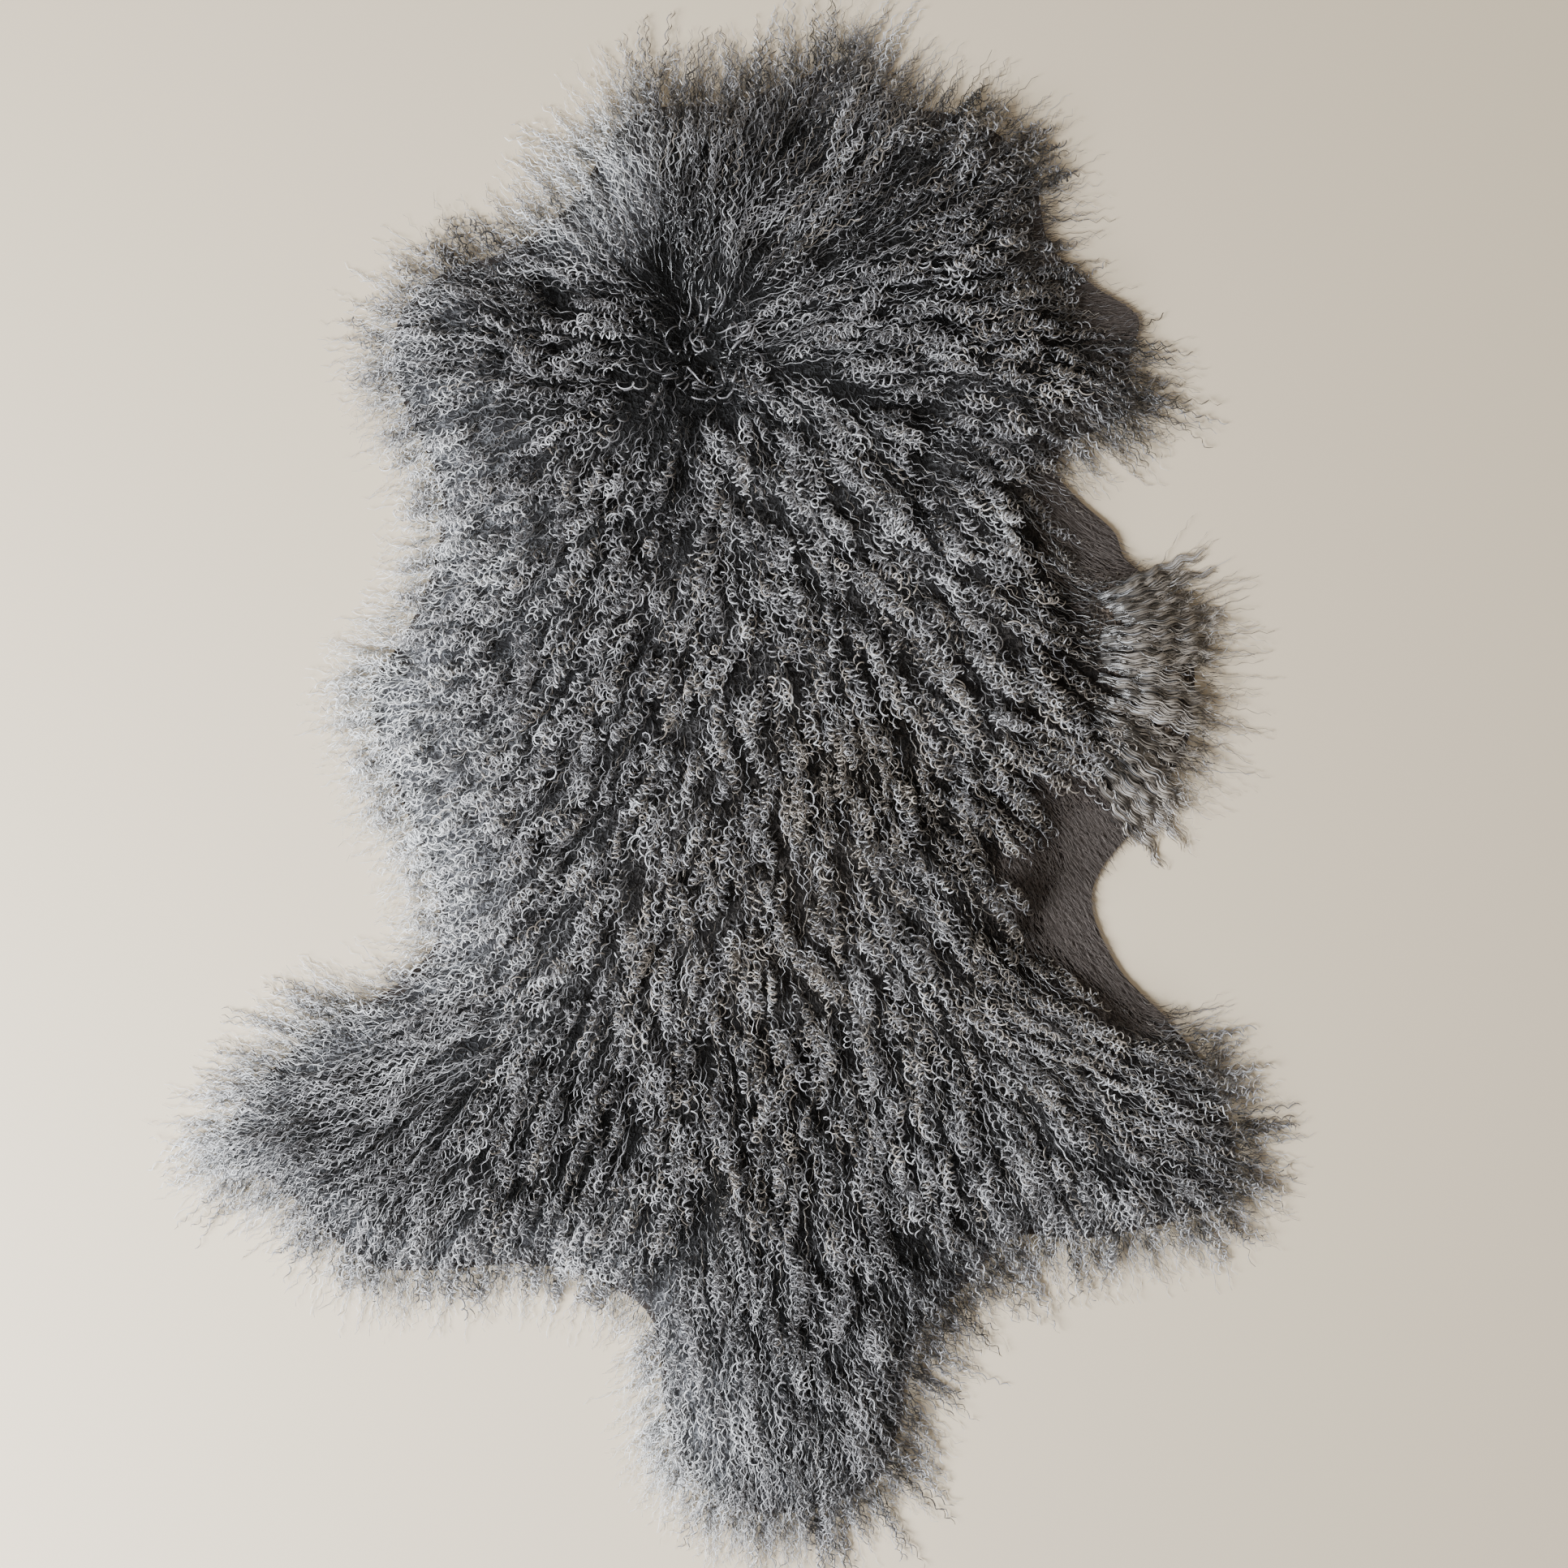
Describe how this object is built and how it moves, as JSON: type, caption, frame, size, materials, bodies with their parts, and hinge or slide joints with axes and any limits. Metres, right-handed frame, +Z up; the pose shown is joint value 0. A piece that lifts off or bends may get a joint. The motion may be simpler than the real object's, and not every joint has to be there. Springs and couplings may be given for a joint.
{
  "type": "tibetan lambskin throw",
  "caption": "Whole lambskin with long curly grey wool, four legs and a tail, laid flat wool side up as a throw or small rug.",
  "frame": {"origin": "middle of the outline, on the surface that the skin rests on", "axes": "+Y from the tail to the neck, +X to the right seen from above, +Z up through the wool"},
  "size_m": [0.707, 0.9852, 0.0411],
  "materials": {
    "wool": "long curly wool, dyed grey, with a soft sheen",
    "hide": "tanned hide, matt suede underneath, short dark grey hair where the wool is thin"
  },
  "bodies": {
    "root": {"pelt": "wool"}
  },
  "joints": []
}
